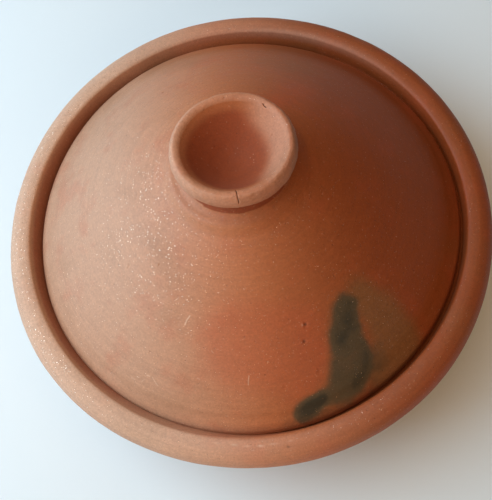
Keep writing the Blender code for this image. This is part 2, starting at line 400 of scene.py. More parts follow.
def new_tree(name, inputs):
    """An empty geometry tree with inputs by name, each with its default, or with None for a material."""
    tree = bpy.data.node_groups.new(name, "GeometryNodeTree")
    for way in ("INPUT", "OUTPUT"):
        tree.interface.new_socket(name="Geometry", in_out=way, socket_type="NodeSocketGeometry")
    kinds = {int: "NodeSocketInt", float: "NodeSocketFloat", type(None): "NodeSocketMaterial"}
    for label, default in inputs.items():
        socket = tree.interface.new_socket(name=label, in_out="INPUT", socket_type=kinds[type(default)])
        if default is not None:
            socket.default_value = default
    return tree


def set_inputs(modifier, values):
    """Sets a geometry modifier's inputs by their names, through their identifiers."""
    for item in modifier.node_group.interface.items_tree:
        if item.item_type == "SOCKET" and item.in_out == "INPUT" and item.name in values:
            modifier[item.identifier] = values[item.name]


def wheel_tree():
    """Turns a profile, given as a line of points, into thrown clay with finger rings, dents and lumps."""
    tree = new_tree("Potter's wheel", {
        "Segments": 360, "Ring Depth": 0.00003, "Ring Spacing": 0.0075, "Dent Depth": 0.0003, "Dent Size": 0.03,
        "Lump Depth": 0.0005, "Lump Size": 0.008, "Seed": 0, "Clay": None,
    })
    add = partial(add_node, tree)
    given = add("NodeGroupInput").outputs
    profile, here = given["Geometry"], add("GeometryNodeInputPosition")

    # A flat sheet with a column for each step of the turn and a row for each point of the profile, rolled up
    rings = add("GeometryNodeAttributeDomainSize", {"Geometry": profile}).outputs["Point Count"]
    columns = add("FunctionNodeIntegerMath", {0: given["Segments"], 1: 1}, operation="ADD")
    sheet = add("GeometryNodeMeshGrid", {"Vertices X": columns, "Vertices Y": rings})
    index = add("GeometryNodeInputIndex")
    ring = add("FunctionNodeIntegerMath", {0: index, 1: rings}, operation="MODULO")
    column = add("FunctionNodeIntegerMath", {0: index, 1: rings}, operation="DIVIDE_FLOOR")
    share = add("ShaderNodeMath", {0: column, 1: given["Segments"]}, operation="DIVIDE")
    turn = add("ShaderNodeMath", {0: share, 1: math.tau}, operation="MULTIPLY")
    sampled = {"Geometry": profile, "Index": ring}
    place = add("GeometryNodeSampleIndex", {**sampled, "Value": here}, data_type="FLOAT_VECTOR")
    turned = add("ShaderNodeVectorRotate", {"Vector": place, "Angle": turn}, rotation_type="Z_AXIS")
    clay = add("GeometryNodeSetPosition", {"Geometry": sheet, "Position": turned})
    kept = {}
    for name in ("along", "dented", "lumpy"):
        kept[name] = add("GeometryNodeInputNamedAttribute", {"Name": name}, data_type="FLOAT")
        value = add("GeometryNodeSampleIndex", {**sampled, "Value": kept[name]}, data_type="FLOAT")
        clay = add("GeometryNodeStoreNamedAttribute", {"Geometry": clay, "Name": name, "Value": value})
    outside = add("GeometryNodeFlipFaces", {"Mesh": clay})
    closed = add("GeometryNodeMergeByDistance", {"Geometry": outside, "Distance": MERGE_DISTANCE})

    # Dents and lumps are smooth noise about nought, and the rings drift with a noise of their own
    unevenness = []
    for name, offset, detail, sharpness in (("Dent", 0.0, 2.0, 0.6), ("Lump", 9.1, 5.0, 0.8)):
        chance = add("ShaderNodeMath", {0: given["Seed"], 1: offset}, operation="ADD")
        fineness = add("ShaderNodeMath", {0: 1.0, 1: given[name + " Size"]}, operation="DIVIDE")
        feeds = {"Vector": here, "W": chance, "Scale": fineness, "Detail": detail, "Roughness": sharpness}
        noise = add("ShaderNodeTexNoise", feeds, noise_dimensions="4D")
        centred = add("ShaderNodeMath", {0: noise, 1: 0.5}, operation="SUBTRACT")
        doubled = add("ShaderNodeMath", {0: centred, 1: 2.0}, operation="MULTIPLY")
        depth = given[name + " Depth"]
        unevenness.append(add("ShaderNodeMath", {0: doubled, 1: depth}, operation="MULTIPLY"))
    dents, lumps = unevenness
    rounds = add("ShaderNodeMath", {0: kept["along"], 1: given["Ring Spacing"]}, operation="DIVIDE")
    drift = add("ShaderNodeTexNoise", {"Vector": here, "Scale": 12.0})
    drifted = add("ShaderNodeMath", {0: drift, 1: 0.6, 2: rounds}, operation="MULTIPLY_ADD")
    phase = add("ShaderNodeMath", {0: drifted, 1: math.tau}, operation="MULTIPLY")
    swell = add("ShaderNodeMath", {0: phase}, operation="SINE")
    dents = add("ShaderNodeMath", {0: swell, 1: given["Ring Depth"], 2: dents}, operation="MULTIPLY_ADD")
    dents = add("ShaderNodeMath", {0: dents, 1: kept["dented"]}, operation="MULTIPLY")
    relief = add("ShaderNodeMath", {0: lumps, 1: kept["lumpy"], 2: dents}, operation="MULTIPLY_ADD")
    normal = add("GeometryNodeInputNormal")
    outwards = add("ShaderNodeVectorMath", {0: normal, "Scale": relief}, operation="SCALE")
    shaped = add("GeometryNodeSetPosition", {"Geometry": closed, "Offset": outwards})
    smooth = add("GeometryNodeSetShadeSmooth", {"Geometry": shaped})
    real = add("GeometryNodeRealizeInstances", {"Geometry": smooth})
    finished = add("GeometryNodeSetMaterial", {"Geometry": real, "Material": given["Clay"]})
    add("NodeGroupOutput", {"Geometry": finished})
    return tree


# Where mica is bare: the share of flakes that lie there beyond the usual, and how much wider they are
CROWDING, GROWTH = 0.3, 0.9


def flake_tree():
    """Scatters closed, thin flakes that lie almost flat over the part of a surface that shows."""
    tree = new_tree("Mica flakes", {
        "Density": 100000.0, "Least Size": 0.0001, "Most Size": 0.0003, "Thickness": 0.2, "Tilt": 0.25,
        "Seed": 0, "Mica": None,
    })
    add = partial(add_node, tree)
    given = add("NodeGroupInput").outputs
    seed, tilt = given["Seed"], given["Tilt"]
    shown = add("GeometryNodeInputNamedAttribute", {"Name": "shown"}, data_type="FLOAT")
    bare = add("GeometryNodeInputNamedAttribute", {"Name": "bare"}, data_type="FLOAT")
    chosen = add("FunctionNodeCompare", {0: shown, 1: 0.5}, data_type="FLOAT", operation="GREATER_THAN")
    crowd = add("ShaderNodeMath", {0: bare, 1: CROWDING, 2: 1.0}, operation="MULTIPLY_ADD")
    density = add("ShaderNodeMath", {0: crowd, 1: given["Density"]}, operation="MULTIPLY")
    scatter = {"Mesh": given["Geometry"], "Selection": chosen, "Density": density, "Seed": seed}
    points = add("GeometryNodeDistributePointsOnFaces", scatter).outputs
    ball = add("GeometryNodeMeshUVSphere", {"Segments": 5, "Rings": 2, "Radius": 1.0})
    flat = add("ShaderNodeCombineXYZ", {"X": 1.0, "Y": 0.6, "Z": given["Thickness"]})
    flake = add("GeometryNodeTransform", {"Geometry": ball, "Scale": flat})
    back = add("ShaderNodeMath", {0: tilt, 1: -1.0}, operation="MULTIPLY")
    least = add("ShaderNodeCombineXYZ", {"X": back, "Y": back, "Z": 0.0})
    most = add("ShaderNodeCombineXYZ", {"X": tilt, "Y": tilt, "Z": math.pi})
    lean = add("FunctionNodeRandomValue", {0: least, 1: most, "Seed": seed}, data_type="FLOAT_VECTOR")
    lean = add("FunctionNodeEulerToRotation", {0: lean})
    facing = {"Rotation": points["Rotation"], "Rotate By": lean}
    facing = add("FunctionNodeRotateRotation", facing, rotation_space="LOCAL")
    sizes = {2: given["Least Size"], 3: given["Most Size"], "Seed": seed}
    size = add("FunctionNodeRandomValue", sizes, data_type="FLOAT").outputs[1]
    growth = add("ShaderNodeMath", {0: bare, 1: GROWTH, 2: 1.0}, operation="MULTIPLY_ADD")
    size = add("ShaderNodeMath", {0: size, 1: growth}, operation="MULTIPLY")
    placed = {"Points": points["Points"], "Instance": flake, "Rotation": facing, "Scale": size}
    flakes = add("GeometryNodeInstanceOnPoints", placed)
    real = add("GeometryNodeRealizeInstances", {"Geometry": flakes})
    finished = add("GeometryNodeSetMaterial", {"Geometry": real, "Material": given["Mica"]})
    add("NodeGroupOutput", {"Geometry": finished})
    return tree


def made_by(tree, name, mesh, values):
    """A new object whose plain mesh is what the tree makes of the given mesh."""
    obj = bpy.data.objects.new(name, mesh)
    bpy.context.scene.collection.objects.link(obj)
    modifier = obj.modifiers.new(tree.name, "NODES")
    modifier.node_group = tree
    set_inputs(modifier, values)
    bpy.context.view_layer.update()
    result = bpy.data.meshes.new_from_object(obj.evaluated_get(bpy.context.evaluated_depsgraph_get()))
    obj.modifiers.clear()
    obj.data = result
    result.name = name
    return obj


def thrown(name, profile, shares, segments, material):
    """A piece thrown from its profile, round the upright axis."""
    outline = bpy.data.meshes.new(name + "_profile")
    outline.from_pydata([(r, 0.0, z) for r, z in profile], [(i, i + 1) for i in range(len(profile) - 1)], [])
    steps = np.linalg.norm(np.diff(profile, axis=0), axis=1)
    for label, values in {"along": np.concatenate([[0], np.cumsum(steps)]), **shares}.items():
        keep(outline, label, values)
    clay = bpy.context.scene.tagine_clay
    return made_by(wheel_tree(), name, outline, {
        "Segments": segments,
        "Ring Depth": clay.ring_depth,
        "Ring Spacing": clay.ring_spacing,
        "Dent Depth": clay.dent_depth,
        "Dent Size": clay.dent_size,
        "Lump Depth": clay.lump_depth,
        "Lump Size": clay.lump_size,
        "Seed": clay.seed,
        "Clay": material,
    })


def vectors(mesh, name):
    """The points' places (co) or directions (normal) of a mesh, as rows."""
    values = np.empty(len(mesh.vertices) * 3, np.float32)
    mesh.vertices.foreach_get(name, values)
    return values.reshape(-1, 3).astype(float)


def move_points(mesh, points):
    mesh.vertices.foreach_set("co", points.astype(np.float32).ravel())
    mesh.update()


def keep(mesh, name, values):
    """Keeps one number a point in the mesh, for a material or a tree to read by name."""
    layer = mesh.attributes.get(name) or mesh.attributes.new(name, "FLOAT", "POINT")
    layer.data.foreach_set("value", np.asarray(values, np.float32))


def ease(value, low, high):
    """Nought below low, one above high, and a smooth step between."""
    t = np.clip((value - low) / (high - low), 0, 1)
    return t * t * (3 - 2 * t)


def bell(away, width):
    """One at no distance, and nought some widths away."""
    return np.exp(-((away / width) ** 2))


def wave(waves, turn):
    return sum(height * np.cos(times * (turn - math.radians(peak))) for times, height, peak in waves)


def radius_of(points):
    return np.hypot(points[:, 0], points[:, 1])


def spread(points, shift):
    """Moves points in or out from the upright axis by their shift."""
    scale = 1 + shift / np.maximum(radius_of(points), FINE)
    return points * np.stack([scale, scale, np.ones_like(scale)], 1)


def make_dish_uneven(mesh, d):
    """The dish's slow waves: the gallery has waves of its own, that grow upwards."""
    points = vectors(mesh, "co")
    radius, height, turn = radius_of(points), points[:, 2], np.arctan2(points[:, 1], points[:, 0])
    gallery = ease(height, d.ledge_height - GALLERY_DEPTH, d.ledge_height)
    gallery *= 1 - ease(radius, d.gallery_top_radius, d.rim_radius)
    outside = wave(OUTER_WAVES, turn) * radius / d.rim_radius
    up_wall = ease(height, d.ledge_height, d.gallery_top_height)
    on_wall = ease(height, d.ledge_height, d.gallery_foot_height) * ease(radius, 0, d.ledge_outer_radius)
    inside = wave(GALLERY_WAVES, turn) * up_wall + wave(GALLERY_FOOT_WAVES, turn) * on_wall * (1 - up_wall)
    rise = d.gallery_top_height - d.gallery_foot_height
    left_to_rise = np.clip((d.gallery_top_height - height) / rise, 0, 1)
    smear = np.maximum(np.cos(turn - SMEAR_TURN), 0) ** SMEAR_NARROWNESS * on_wall
    points[:, 2] += SMEAR_HEIGHT * smear * left_to_rise * (radius < d.gallery_top_radius)
    move_points(mesh, spread(points, outside + gallery * (inside - outside)))


def make_lid_uneven(mesh, s):
    """The lid's slow waves, of the dome at its edge and of the knob, and the swelling at the knob's foot."""
    points, upwards = vectors(mesh, "co"), vectors(mesh, "normal")[:, 2]
    radius, height, turn = radius_of(points), points[:, 2], np.arctan2(points[:, 1], points[:, 0])
    bead = bell(radius - s.bead_radius, BEAD_HALF_WIDTH) * (upwards > 0) * (height < s.waist_height)
    points[:, 2] += s.bead_height * bead * ease(np.cos(turn - s.bead_turn), *BEAD_FADE)
    dome = wave(LID_WAVES, turn) * ease(radius, s.lip_radius, s.edge_radius)
    knob = wave(KNOB_WAVES, turn) * ease(height, s.dome_top_height, s.waist_height)
    shift = dome + knob * np.minimum(radius / s.waist_radius, 1.0)
    move_points(mesh, spread(points, shift) + (*s.offset, 0.0))


# Where a surface starts and is full to count as facing up or outwards, from nought to one for straight that way
LID_FACING_UP, RIM_FACING_UP, FACING_OUT = (0.0, 0.2), (0.0, 0.3), (0.1, 0.5)

# Pits on the lid, in millimetres from the dish's middle as seen from above, as (place, radius, depth)
PITS = (
    ((20.0, -84.4), 1.1, 0.50), ((17.8, -92.0), 1.1, 0.45), ((22.9, -106.1), 1.1, 0.22),
    ((2.8, -110.8), 1.0, 0.18), ((-34.5, 72.7), 0.7, 0.35), ((-68.7, -34.5), 0.8, 0.25),
    ((-51.2, -40.7), 0.5, 0.35), ((-67.2, -78.6), 0.6, 0.30), ((21.2, 4.9), 0.6, 0.30),
)

# The clay pushed up at a pit's -X side: how far aside and how wide, in pit radii, and how high, in pit depths. It
# is also painted pale there, a painted highlight on the side that faces the window
PUSHED_ASIDE, PUSHED_WIDTH, PUSHED_HEIGHT = 1.5, 0.7, 0.9
# How dark a pit's hollow is painted: painted shade
PIT_DARKNESS = 1.4

# Cracks in the knob's lip, in millimetres too, and how far under the lip's widest ring they start and are full,
# in metres
CRACKS = (
    ((-2.5, -25.4), (-2.3, -28.0), (-2.4, -30.2), (-2.2, -31.8)),
    ((19.7, 19.3), (20.1, 18.1), (20.9, 17.0)),
)
CRACK_HALF_WIDTH, CRACK_DEPTH = 0.20, 0.8
CRACK_START, CRACK_FULL = -0.004, -0.001

# Scratches, as (strength, points): two short cuts, a scuff made of flecks, and single flecks of pale clay
SCRATCHES = (
    (1.0, ((-43.9, -72.2), (-42.3, -70.4), (-40.1, -68.9))),
    (0.7, ((-15.4, -102.6), (-16.2, -104.8), (-16.8, -106.6))),
    (0.6, ((-82.0, -87.0), (-80.2, -88.6))),
    (0.7, ((-78.6, -87.6), (-77.2, -88.4))),
    (0.6, ((-76.4, -90.8), (-74.6, -90.2))),
    (0.7, ((-72.4, -88.8), (-70.8, -89.6))),
    (0.6, ((-69.4, -90.6), (-68.4, -93.3), (-67.3, -95.4))),
    (0.5, ((-32.6, -87.2), (-31.9, -88.4))),
    (0.5, ((-43.9, -97.6), (-42.4, -98.6))),
    (0.4, ((-33.0, -118.2), (-31.6, -118.9))),
)
SCRATCH_HALF_WIDTH, SCRATCH_HEIGHT = 0.35, 0.10
CREASE_HALF_WIDTH = 0.0012

# How near a small mark the mesh is refined, in millimetres, and how often each edge is cut there
REFINED_REACH, REFINED_CUTS = 2.6, 3

# Chips along the crest of the rim, as (angle in degrees, radius of the ring, length along it, how deep)
RIM_CHIPS = (
    (-111, 137.4, 3.0, 0.5), (-107, 137.9, 4.0, 0.6), (-103, 138.2, 2.2, 0.9), (-100, 138.8, 3.0, 0.7),
    (-97, 139.0, 2.4, 1.0), (-94, 138.6, 3.6, 0.7), (-90, 138.4, 2.6, 0.6), (-84, 138.2, 2.2, 0.4),
    (-118, 138.0, 3.0, 0.4), (-128, 137.6, 2.0, 0.4), (168, 137.8, 2.5, 0.5), (152, 138.0, 2.0, 0.4),
)
CHIP_HALF_WIDTH, CHIP_DEPTH, CHIP_PALENESS = 0.8, 0.25, 0.7

# A pit in the rim, as (angle in degrees, radius of the ring, radius, depth)
RIM_PIT = (-91.0, 141.4, 0.9, 0.5)

# The outline of the kiln's smoke stain, how dark it is, and how soft its edge and the olive halo round it are
SMOKE_OUTLINE = (
    (41.5, -72.6), (36.4, -78.0), (31.6, -90.3), (31.0, -97.2), (29.6, -105.0), (27.0, -111.5),
    (21.0, -116.5), (13.0, -120.0), (8.0, -124.5), (14.0, -127.5), (23.4, -123.5), (37.6, -123.6),
    (47.4, -116.8), (52.6, -109.8), (54.2, -102.0), (51.4, -94.2), (50.0, -82.3), (50.6, -75.0),
    (46.0, -72.4),
)
SMOKE_SHARE, SMOKE_SOFTNESS, HALO_SOFTNESS = 0.84, 3.8, 7.0

# Round-ended strokes on the lid, as (share, softness, path of x, y and radius): smoke, buff clay, flashed clay,
# and where the hand pressed hardest and bared most mica
HAZE = (0.42, 7.0, ((2.0, -127.5, 5.0), (24.0, -124.0, 7.0), (44.0, -115.0, 10.0), (58.0, -104.0, 8.0)))
SOOT = (
    (0.85, 2.6, ((21.5, -118.8, 3.2), (15.0, -122.2, 4.6), (9.5, -124.4, 4.4))),
    (0.44, 5.0, ((46.0, -77.0, 4.4), (43.0, -84.0, 5.0), (38.0, -93.0, 4.6))),
    (0.44, 5.0, ((51.6, -96.0, 2.4), (51.0, -106.5, 3.4), (42.0, -115.5, 3.4))),
)
BUFF = (1.0, 8.0, ((54.0, -74.0, 9.0), (64.0, -83.0, 12.0), (70.0, -96.0, 15.0), (60.0, -110.0, 10.0)))
FLASHES = (
    (1.0, 14.0, ((-18.0, -88.0, 20.0), (12.0, -96.0, 22.0))),
    (1.0, 14.0, ((30.0, 40.0, 8.0), (42.0, 48.0, 10.0))),
)
BARE_MICA = (
    1.0, 16.0, ((-52.0, 12.0, 12.0), (-60.0, -18.0, 22.0), (-52.0, -48.0, 18.0), (-34.0, -66.0, 10.0))
)

# Directions round the dish in degrees: the middle of a stretch, then how far from it something starts to fade
# and where it ends
WINDOW_SIDE_TURN, WALL_HIGHLIGHT_TURN = 175, 145
BARE_FADE, RIM_DUST_SHEEN_FADE, SHADED_FADE, WALL_HIGHLIGHT_FADE = (35, 70), (35, 140), (35, 84), (70, 147)

# How strong the dust, the painted sheen and highlights, and the painted shade are at most, from nought to one
LIP_DUST_AND_HIGHLIGHT, CUP_HIGHLIGHT, WALL_HIGHLIGHT, RIM_DUST_SHEEN, LEAST_RIM_DUST_SHEEN = 0.45, 0.50, 0.45, 0.75, 0.10
SHADED_WALL, SHADE_LIFTED = 0.70, 0.85

# Where, in metres, the cup's +X wall, which faces the window, starts and is full along X, how far under the lip
# the cup is painted darker as painted shade, and how far over its floor that shade is lifted and the lit wall
# painted pale as a painted highlight
CUP_LIT_ASIDE, SHADED_UNDER_LIP = (0.002, 0.020), (0.001, 0.010)
SHADE_LIFTED_OVER_FLOOR, CUP_HIGHLIGHT_OVER_FLOOR = (0.002, 0.014), (0.003, 0.014)

# Distances in metres outwards from the rim's inner edge between which the rim's dust and painted sheen, and the
# painted shade under that edge, come and go, then the height at which the rim's dust and sheen are full, and how
# far over the wall's foot and past the crest the wall's painted highlight reaches
RIM_DUST_SHEEN_EDGE, SHADED_EDGE = (-0.0005, 0.0025), (-0.0005, 0.0015)
RIM_DUST_SHEEN_HEIGHT, WALL_HIGHLIGHT_OVER_FOOT, WALL_HIGHLIGHT_PAST_CREST = 0.066, 0.003, 0.003


def along_path(points, path):
    """Each point's distance, seen from above, to each piece of a path, and the nearest place on that piece."""
    flat = points[:, :2] / MILLIMETRE
    for start, end in zip(path, path[1:]):
        start, end = np.array(start, float), np.array(end, float)
        step = end[:2] - start[:2]
        t = np.clip(((flat - start[:2]) @ step) / (step @ step), 0, 1)
        yield np.linalg.norm(flat - start[:2] - t[:, None] * step, axis=1), start + t[:, None] * (end - start)


def path_distance(points, path):
    return np.min([away for away, _ in along_path(points, path)], axis=0)


def place_distance(points, place):
    return np.hypot(points[:, 0] / MILLIMETRE - place[0], points[:, 1] / MILLIMETRE - place[1])


def stroke(points, share, softness, path):
    """The share inside a round-ended stroke along a path of (x, y, radius), and nought well outside."""
    depth = np.max([near[:, 2] - away for away, near in along_path(points, path)], axis=0)
    return share * ease(depth, -softness, softness)


def filled(points, outline, softness):
    """One inside a closed outline, and nought well outside."""
    flat = points[:, :2] / MILLIMETRE
    ring = (*outline, outline[0])
    inside = np.zeros(len(flat), bool)
    for (ax, ay), (bx, by) in zip(ring, ring[1:]):
        if ay != by:
            crosses = (flat[:, 1] > min(ay, by)) & (flat[:, 1] <= max(ay, by))
            inside ^= crosses & (flat[:, 0] < ax + (flat[:, 1] - ay) * (bx - ax) / (by - ay))
    return ease(path_distance(points, ring) * np.where(inside, 1, -1), -softness, softness)


def refine(mesh):
    """Splits the outer faces near the small marks, so that a mark a millimetre wide has points enough."""
    work = bmesh.new()
    work.from_mesh(mesh)
    points = np.array([vertex.co for vertex in work.verts])
    distances = [place_distance(points, place) for place, _, _ in PITS]
    distances += [path_distance(points, path) for path in CRACKS + tuple(path for _, path in SCRATCHES)]
    near = np.min(distances, axis=0) < REFINED_REACH
    near &= np.array([vertex.normal.z for vertex in work.verts]) > 0
    edges = [edge for edge in work.edges if near[edge.verts[0].index] and near[edge.verts[1].index]]
    bmesh.ops.subdivide_edges(work, edges=edges, cuts=REFINED_CUTS, use_grid_fill=True)
    work.to_mesh(mesh)
    work.free()


def cut_lid(mesh, s):
    """Presses the pits, cracks and scratches into the lid, and keeps them for the clay to read."""
    points, normals = vectors(mesh, "co"), vectors(mesh, "normal")
    upper = ease(normals[:, 2], *LID_FACING_UP)
    relief, pitted, pushed = np.zeros((3, len(points)))
    for place, radius, depth in PITS:
        hollow = bell(place_distance(points, place), radius) * upper
        beside = place_distance(points, (place[0] - PUSHED_ASIDE * radius, place[1]))
        raised = bell(beside, PUSHED_WIDTH * radius) * upper
        relief += (PUSHED_HEIGHT * raised - hollow) * depth
        pitted = np.maximum(pitted, hollow * depth)
        pushed = np.maximum(pushed, raised * depth)
    on_lip = ease(points[:, 2] - s.lip_widest_height, CRACK_START, CRACK_FULL)
    crack = sum(bell(path_distance(points, path), CRACK_HALF_WIDTH) for path in CRACKS) * on_lip
    scratch = upper * sum(
        strength * bell(path_distance(points, path), SCRATCH_HALF_WIDTH) for strength, path in SCRATCHES
    )
    crease = ease(radius_of(points) - s.crease_radius, -CREASE_HALF_WIDTH, CREASE_HALF_WIDTH) * upper
    relief += SCRATCH_HEIGHT * scratch - CRACK_DEPTH * crack - crease * s.crease_depth / MILLIMETRE
    # Pits' hollows are kept to be painted dark as painted shade, and the clay pushed up beside them to be painted
    # pale as a painted highlight
    keep(mesh, "cut", np.maximum(PIT_DARKNESS * pitted, crack))
    keep(mesh, "scratch", np.maximum(scratch, pushed))
    move_points(mesh, points + normals * (relief * MILLIMETRE)[:, None])


def mark_lid(mesh, s):
    """Cuts the lid's small marks, and keeps its fire marks, the dust and painted highlight on the knob's lip, and
    the painted shade and painted highlight in the knob's cup for the clay to read.
    """
    refine(mesh)
    points, upper = vectors(mesh, "co"), ease(vectors(mesh, "normal")[:, 2], *LID_FACING_UP)
    radius, height = radius_of(points), points[:, 2]
    cut_lid(mesh, s)
    outside = upper * ease(height, s.seat_height, s.edge_height)
    smoke = SMOKE_SHARE * filled(points, SMOKE_OUTLINE, SMOKE_SOFTNESS)
    smoke = np.maximum(smoke, stroke(points, *HAZE)) + sum(stroke(points, *mark) for mark in SOOT)
    olive = np.maximum(stroke(points, *BUFF), filled(points, SMOKE_OUTLINE, HALO_SOFTNESS))
    within_lip, over_floor = radius < s.lip_top_radius, height - s.cup_floor_height
    # Painted shade inside the knob's cup, lifted on its +X wall, which faces the window and is painted pale there
    # as a painted highlight
    cup_lit_side = ease(points[:, 0], *CUP_LIT_ASIDE) * within_lip
    shaded = ease(s.lip_top_height - height, *SHADED_UNDER_LIP) * within_lip
    lumpy = np.empty(len(points), np.float32)
    mesh.attributes["lumpy"].data.foreach_get("value", lumpy)
    # The knob's lip is painted paler: dust, and partly a painted highlight on its top
    lip_dust_and_highlight = LIP_DUST_AND_HIGHLIGHT * lumpy * (height > s.waist_height)
    keep(mesh, "shown", outside * (radius > s.cup_mouth_radius))
    keep(mesh, "bare", stroke(points, *BARE_MICA))
    keep(mesh, "smoke", smoke * outside)
    keep(mesh, "buff", olive * outside)
    keep(mesh, "flash", sum(stroke(points, *patch) for patch in FLASHES) * outside)
    keep(mesh, "deep", shaded * (1 - SHADE_LIFTED * cup_lit_side * ease(over_floor, *SHADE_LIFTED_OVER_FLOOR)))
    keep(mesh, "worn", np.maximum(lip_dust_and_highlight, CUP_HIGHLIGHT * cup_lit_side * ease(over_floor, *CUP_HIGHLIGHT_OVER_FLOOR)))


def turned_from(turn, middle):
    """How far each direction is from the middle one, in degrees."""
    return np.abs((turn - middle + 180) % 360 - 180)


def mark_dish(mesh, d):
    """Chips the crest of the rim, and keeps where the dish shows, where its rim is chipped, dusty and painted with
    sheen on the window's side, and where the wall inside the rim is painted with shade and with highlights.
    """
    points, normals = vectors(mesh, "co"), vectors(mesh, "normal")
    radius, height, turn = radius_of(points), points[:, 2], np.degrees(np.arctan2(points[:, 1], points[:, 0]))
    upper = ease(normals[:, 2], *RIM_FACING_UP) * ease(height, d.rim_widest_height, d.crest_height)
    chipped = np.zeros(len(points))
    for middle, ring, span, strength in RIM_CHIPS:
        off = turned_from(turn, middle) * math.radians(ring)
        chip = bell(off, span) * bell(radius / MILLIMETRE - ring, CHIP_HALF_WIDTH)
        chipped = np.maximum(chipped, strength * chip * upper)
    pit_turn, pit_ring, pit_radius, pit_depth = RIM_PIT
    off = np.hypot(turned_from(turn, pit_turn) * math.radians(pit_ring), radius / MILLIMETRE - pit_ring)
    pit = bell(off, pit_radius) * upper
    move_points(mesh, points - normals * ((CHIP_DEPTH * chipped + pit_depth * pit) * MILLIMETRE)[:, None])

    from_edge, from_window_side = radius - d.gallery_top_radius, turned_from(turn, WINDOW_SIDE_TURN)
    # Dust all round the rim, and a stronger painted sheen on the side that faces the window
    on_rim = ease(from_edge, *RIM_DUST_SHEEN_EDGE) * ease(height, d.under_rim_height, RIM_DUST_SHEEN_HEIGHT)
    rim_dust_sheen = on_rim * (RIM_DUST_SHEEN - (RIM_DUST_SHEEN - LEAST_RIM_DUST_SHEEN) * ease(from_window_side, *RIM_DUST_SHEEN_FADE))
    # Painted highlight: the wall inside the rim is painted pale for the light it catches, fading out towards the
    # near +X side
    up_wall = ease(height, d.gallery_foot_height + WALL_HIGHLIGHT_OVER_FOOT, d.gallery_top_height)
    up_wall *= 1 - ease(radius, d.gallery_top_radius, d.crest_radius + WALL_HIGHLIGHT_PAST_CREST)
    wall_highlight = WALL_HIGHLIGHT * up_wall * (1 - ease(turned_from(turn, WALL_HIGHLIGHT_TURN), *WALL_HIGHLIGHT_FADE))
    # Painted shade: the wall under the rim's inner edge on the window's side, which faces away from the light, is
    # painted redder
    shaded = (1 - ease(from_edge, *SHADED_EDGE)) * ease(height, d.outer_wall_height, d.ledge_height)
    outwards = np.sum(normals[:, :2] * points[:, :2], axis=1) / np.maximum(radius, FINE)
    outside = np.maximum(ease(outwards, *FACING_OUT), ease(radius, d.gallery_foot_radius, d.crest_radius))
    keep(mesh, "shown", outside * ease(height, 0.0, d.foot_rounding))
    keep(mesh, "bare", on_rim * (1 - ease(from_window_side, *BARE_FADE)))
    keep(mesh, "worn", np.maximum(rim_dust_sheen, wall_highlight))
    keep(mesh, "scratch", CHIP_PALENESS * chipped)
    # The rim's pit is painted dark: painted shade
    keep(mesh, "cut", pit)
    keep(mesh, "deep", SHADED_WALL * shaded * (1 - ease(from_window_side, *SHADED_FADE)))
    for name in ("smoke", "buff", "flash"):
        keep(mesh, name, np.zeros(len(points)))


# The clay is painted tan on the -X side, which faces the window, and deep red brown towards +X, away from it:
# painted sheen on the lit side and painted shade on the far side
TOWARDS_SHADED_SIDE = (1.0, -0.02, 0.0)
PALE_END, WARM_START, WARM_END, RED_END = -0.080, -0.030, 0.015, 0.075

# Real widths in metres: fire clouds, patches of the slip, blotches in them, pinched clay and grit
NOISE_WIDTHS = {"cloud": 0.070, "patch": 0.022, "blotch": 0.009, "pinch": 0.0032, "grit": 0.0011}
STREAK_WIDTH, PORE_SPACING, GRAIN_SPACING = 0.0022, 0.0052, 0.0031

# How far the skin rises and sinks, in millimetres
GRIT_HEIGHT, PINCH_HEIGHT, STREAK_HEIGHT, PORE_DEPTH = 0.06, 0.10, 0.04, 0.15

# How much rougher than the skin the marks are, and how far the skin itself varies
ROUGHER_MARK, SKIN_VARIES = 0.25, 0.10


def new_material(name):
    """A material with its tree, its shader and the place of each point on the piece."""
    material = bpy.data.materials.new(name)
    material.use_nodes = True
    tree = material.node_tree
    return material, tree, tree.nodes["Principled BSDF"], add_node(tree, "ShaderNodeTexCoord").outputs["Object"]


